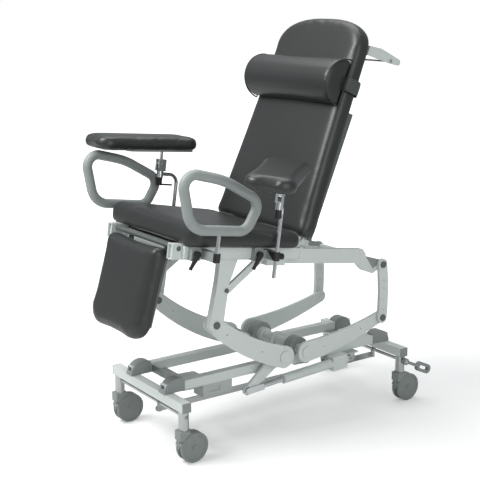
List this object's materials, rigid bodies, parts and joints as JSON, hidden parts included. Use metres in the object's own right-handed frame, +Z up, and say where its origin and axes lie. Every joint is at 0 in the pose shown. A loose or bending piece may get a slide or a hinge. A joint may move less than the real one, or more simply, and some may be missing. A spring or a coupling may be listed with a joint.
{
  "type": "phlebotomy chair",
  "caption": "Height-adjustable phlebotomy chair with reclining back, leg rest, side arm pads, arm hoops and a castor base with foot brake",
  "frame": {"origin": "on the floor under the middle of the castor base", "axes": "+Z up, -Y towards the foot end, +X towards the sitter's left"},
  "size_m": [0.9795, 1.2946, 1.4932],
  "materials": {
    "frame_paint": "satin powder coat",
    "vinyl": "soft sheen",
    "grey_plastic": "fine texture",
    "grey_foam": "moulded skin",
    "tread": "matt",
    "dark_paint": "satin",
    "zinc_steel": "bright zinc",
    "chrome": "polished",
    "black_plastic": "satin",
    "grey_metal": "satin",
    "plywood": "sanded"
  },
  "bodies": {
    "base": {"base_rails": "frame_paint", "base_cross_members": "frame_paint", "base_end_caps": "grey_plastic", "castor_sockets": "zinc_steel", "bearing_blocks": "dark_paint", "base_brackets": "zinc_steel", "control_box": "grey_plastic"},
    "castor_front_left": {"castor_fork_front_left": "grey_plastic"},
    "wheel_front_left": {"castor_wheel_front_left": "tread"},
    "castor_front_right": {"castor_fork_front_right": "grey_plastic"},
    "wheel_front_right": {"castor_wheel_front_right": "tread"},
    "castor_rear_left": {"castor_fork_rear_left": "grey_plastic"},
    "wheel_rear_left": {"castor_wheel_rear_left": "tread"},
    "castor_rear_right": {"castor_fork_rear_right": "grey_plastic"},
    "wheel_rear_right": {"castor_wheel_rear_right": "tread"},
    "rear_brake": {"brake_shaft_rear": "zinc_steel", "brake_pedals": "grey_plastic"},
    "front_brake": {"brake_shaft_front": "zinc_steel"},
    "brake_link": {"brake_link_bar": "zinc_steel"},
    "front_lift": {"front_torsion_tube": "frame_paint", "front_arms": "frame_paint"},
    "chassis": {"front_knee_pins": "dark_paint", "chassis_beams": "frame_paint", "front_legs": "frame_paint", "seat_frame": "frame_paint", "seat_board": "plywood", "seat_cushion": "vinyl", "accessory_rails": "frame_paint"},
    "rear_lift": {"rear_torsion_tube": "frame_paint", "rear_arms": "frame_paint"},
    "rear_link": {"rear_cross_tube": "frame_paint", "rear_links": "frame_paint"},
    "near_actuator": {"near_actuator": "frame_paint"},
    "near_piston": {"near_piston": "chrome"},
    "middle_actuator": {"middle_actuator": "frame_paint"},
    "middle_piston": {"middle_piston": "chrome"},
    "backrest": {"backrest_frame": "frame_paint", "backrest_board": "plywood", "backrest_cushion": "vinyl"},
    "paper_rod": {"paper_rod": "chrome"},
    "bolster": {"head_bolster": "vinyl"},
    "legrest": {"legrest_frame": "grey_metal", "legrest_cushion": "vinyl"},
    "legrest_knob": {"legrest_knob": "black_plastic"},
    "hoop_clamp_left": {"hoop_clamp_left": "dark_paint"},
    "hoop_lever_left": {"hoop_lever_left": "black_plastic"},
    "arm_hoop_left": {"arm_hoop_left": "grey_foam"},
    "pad_clamp_left": {"pad_clamp_left": "dark_paint"},
    "pad_lever_left": {"pad_lever_left": "black_plastic"},
    "pad_post_left": {"pad_post_left": "chrome"},
    "pad_block_left": {"pad_block_left": "chrome"},
    "arm_pad_left": {"arm_pad_left": "vinyl"},
    "hoop_clamp_right": {"hoop_clamp_right": "dark_paint"},
    "hoop_lever_right": {"hoop_lever_right": "black_plastic"},
    "arm_hoop_right": {"arm_hoop_right": "grey_foam"},
    "pad_clamp_right": {"pad_clamp_right": "dark_paint"},
    "pad_lever_right": {"pad_lever_right": "black_plastic"},
    "pad_post_right": {"pad_post_right": "chrome"},
    "pad_block_right": {"pad_block_right": "chrome"},
    "arm_pad_right": {"arm_pad_right": "vinyl"}
  },
  "joints": [
    {"name": "swivel_front_left", "type": "hinge", "parent": "base", "child": "castor_front_left", "pos_m": [0.2234, -0.506, 0.123], "axis": [0, 0, 1], "continuous": true},
    {"name": "roll_front_left", "type": "hinge", "parent": "castor_front_left", "child": "wheel_front_left", "pos_m": [0.2234, -0.472, 0.055], "axis": [1, 0, 0], "continuous": true},
    {"name": "swivel_front_right", "type": "hinge", "parent": "base", "child": "castor_front_right", "pos_m": [-0.2234, -0.506, 0.123], "axis": [0, 0, 1], "continuous": true},
    {"name": "roll_front_right", "type": "hinge", "parent": "castor_front_right", "child": "wheel_front_right", "pos_m": [-0.2234, -0.472, 0.055], "axis": [1, 0, 0], "continuous": true},
    {"name": "swivel_rear_left", "type": "hinge", "parent": "base", "child": "castor_rear_left", "pos_m": [0.2234, 0.506, 0.123], "axis": [0, 0, 1], "continuous": true},
    {"name": "roll_rear_left", "type": "hinge", "parent": "castor_rear_left", "child": "wheel_rear_left", "pos_m": [0.2234, 0.54, 0.055], "axis": [1, 0, 0], "continuous": true},
    {"name": "swivel_rear_right", "type": "hinge", "parent": "base", "child": "castor_rear_right", "pos_m": [-0.2234, 0.506, 0.123], "axis": [0, 0, 1], "continuous": true},
    {"name": "roll_rear_right", "type": "hinge", "parent": "castor_rear_right", "child": "wheel_rear_right", "pos_m": [-0.2234, 0.54, 0.055], "axis": [1, 0, 0], "continuous": true},
    {"name": "brake", "type": "hinge", "parent": "base", "child": "rear_brake", "pos_m": [0, 0.506, 0.172], "axis": [-1, 0, 0], "range_deg": [-20, 20]},
    {"name": "front_brake_turn", "type": "hinge", "parent": "base", "child": "front_brake", "pos_m": [0, -0.506, 0.172], "axis": [-1, 0, 0], "range_deg": [-20.5, 20.5]},
    {"name": "brake_link_slide", "type": "slide", "parent": "base", "child": "brake_link", "axis": [0, -1, 0], "range_m": [-0.0095, 0.0095]},
    {"name": "lift", "type": "hinge", "parent": "base", "child": "front_lift", "pos_m": [0, -0.041, 0.28], "axis": [-1, 0, 0], "range_deg": [-30, 6]},
    {"name": "front_knee_turn", "type": "hinge", "parent": "front_lift", "child": "chassis", "pos_m": [0, -0.361, 0.466], "axis": [1, 0, 0], "range_deg": [-30.5, 6.5]},
    {"name": "rear_arm_turn", "type": "hinge", "parent": "base", "child": "rear_lift", "pos_m": [0, 0.063, 0.28], "axis": [1, 0, 0], "range_deg": [-26.3, 5.66]},
    {"name": "rear_link_turn", "type": "hinge", "parent": "chassis", "child": "rear_link", "pos_m": [0, 0.42161, 0.56656], "axis": [1, 0, 0], "range_deg": [-3.74, 16.7]},
    {"name": "near_actuator_turn", "type": "hinge", "parent": "base", "child": "near_actuator", "pos_m": [0.15, 0.309, 0.2], "axis": [1, 0, 0], "range_deg": [-2.18, 8.9]},
    {"name": "near_piston_slide", "type": "slide", "parent": "near_actuator", "child": "near_piston", "axis": [0, -0.9984, -0.0565], "range_m": [-0.06333, 0.01307]},
    {"name": "middle_actuator_turn", "type": "hinge", "parent": "base", "child": "middle_actuator", "pos_m": [0, -0.41, 0.2], "axis": [1, 0, 0], "range_deg": [-6.2, 1.64]},
    {"name": "middle_piston_slide", "type": "slide", "parent": "middle_actuator", "child": "middle_piston", "axis": [0, 0.999, -0.0453], "range_m": [-0.05495, 0.01139]},
    {"name": "recline", "type": "hinge", "parent": "chassis", "child": "backrest", "pos_m": [0, -0.00608, 0.70644], "axis": [-1, 0, 0], "range_deg": [0, 75]},
    {"name": "bolster_slide", "type": "slide", "parent": "backrest", "child": "bolster", "axis": [0, 0.3859, 0.9225], "range_m": [-0.05, 0.05]},
    {"name": "paper_rod_spin", "type": "hinge", "parent": "backrest", "child": "paper_rod", "pos_m": [0, 0.40677, 1.34021], "axis": [1, 0, 0], "continuous": true},
    {"name": "legrest_swing", "type": "hinge", "parent": "chassis", "child": "legrest", "pos_m": [0, -0.51462, 0.75974], "axis": [-1, 0, 0], "range_deg": [0, 81]},
    {"name": "legrest_knob_turn", "type": "hinge", "parent": "legrest", "child": "legrest_knob", "pos_m": [-0.229, -0.51462, 0.75974], "axis": [-1, 0, 0], "continuous": true},
    {"name": "hoop_clamp_slide_left", "type": "slide", "parent": "chassis", "child": "hoop_clamp_left", "axis": [0, 0.9903, -0.1392], "range_m": [0, 0.03]},
    {"name": "hoop_lever_swing_left", "type": "hinge", "parent": "hoop_clamp_left", "child": "hoop_lever_left", "pos_m": [0.265, -0.47059, 0.74244], "axis": [-1, 0, 0], "range_deg": [0, 60]},
    {"name": "hoop_height_left", "type": "slide", "parent": "hoop_clamp_left", "child": "arm_hoop_left", "axis": [0, 0.1392, 0.9903], "range_m": [-0.04, 0.02]},
    {"name": "pad_clamp_slide_left", "type": "slide", "parent": "chassis", "child": "pad_clamp_left", "axis": [0, 0.9903, -0.1392], "range_m": [-0.02, 0.05]},
    {"name": "pad_lever_swing_left", "type": "hinge", "parent": "pad_clamp_left", "child": "pad_lever_left", "pos_m": [0.265, -0.2151, 0.70654], "axis": [-1, 0, 0], "range_deg": [0, 60]},
    {"name": "pad_height_left", "type": "slide", "parent": "pad_clamp_left", "child": "pad_post_left", "axis": [0, 0.1392, 0.9903], "range_m": [-0.02, 0.06]},
    {"name": "pad_swivel_left", "type": "hinge", "parent": "pad_post_left", "child": "pad_block_left", "pos_m": [0.34779, -0.19751, 0.88684], "axis": [0, 0.1392, 0.9903], "range_deg": [-5, 60]},
    {"name": "pad_tilt_left", "type": "hinge", "parent": "pad_block_left", "child": "arm_pad_left", "pos_m": [0.34779, -0.19218, 0.92477], "axis": [-0.7193, -0.6879, 0.0967], "range_deg": [-10, 15]},
    {"name": "hoop_clamp_slide_right", "type": "slide", "parent": "chassis", "child": "hoop_clamp_right", "axis": [0, 0.9903, -0.1392], "range_m": [0, 0.03]},
    {"name": "hoop_lever_swing_right", "type": "hinge", "parent": "hoop_clamp_right", "child": "hoop_lever_right", "pos_m": [-0.265, -0.47059, 0.74244], "axis": [-1, 0, 0], "range_deg": [0, 60]},
    {"name": "hoop_height_right", "type": "slide", "parent": "hoop_clamp_right", "child": "arm_hoop_right", "axis": [0, 0.1392, 0.9903], "range_m": [-0.04, 0.003]},
    {"name": "pad_clamp_slide_right", "type": "slide", "parent": "chassis", "child": "pad_clamp_right", "axis": [0, 0.9903, -0.1392], "range_m": [-0.02, 0.05]},
    {"name": "pad_lever_swing_right", "type": "hinge", "parent": "pad_clamp_right", "child": "pad_lever_right", "pos_m": [-0.265, -0.27254, 0.71461], "axis": [-1, 0, 0], "range_deg": [0, 60]},
    {"name": "pad_height_right", "type": "slide", "parent": "pad_clamp_right", "child": "pad_post_right", "axis": [0, 0.1392, 0.9903], "range_m": [0, 0.06]},
    {"name": "pad_swivel_right", "type": "hinge", "parent": "pad_post_right", "child": "pad_block_right", "pos_m": [-0.295, -0.27314, 0.91868], "axis": [0, -0.1392, -0.9903], "range_deg": [0, 60]},
    {"name": "pad_tilt_right", "type": "hinge", "parent": "pad_block_right", "child": "arm_pad_right", "pos_m": [-0.295, -0.26781, 0.95661], "axis": [-1, 0, 0], "range_deg": [0, 18]}
  ],
  "couplings": [
    {"joint": "front_brake_turn", "follows": "brake", "ratio": 1},
    {"joint": "brake_link_slide", "follows": "brake", "m_per_rad": 0.0256},
    {"joint": "front_knee_turn", "follows": "lift", "ratio": 1},
    {"joint": "rear_arm_turn", "follows": "lift", "ratio": 0.86},
    {"joint": "rear_link_turn", "follows": "lift", "ratio": -0.54},
    {"joint": "near_actuator_turn", "follows": "lift", "ratio": -0.28},
    {"joint": "near_piston_slide", "follows": "lift", "m_per_rad": 0.12},
    {"joint": "middle_actuator_turn", "follows": "lift", "ratio": 0.19},
    {"joint": "middle_piston_slide", "follows": "lift", "m_per_rad": 0.104}
  ]
}
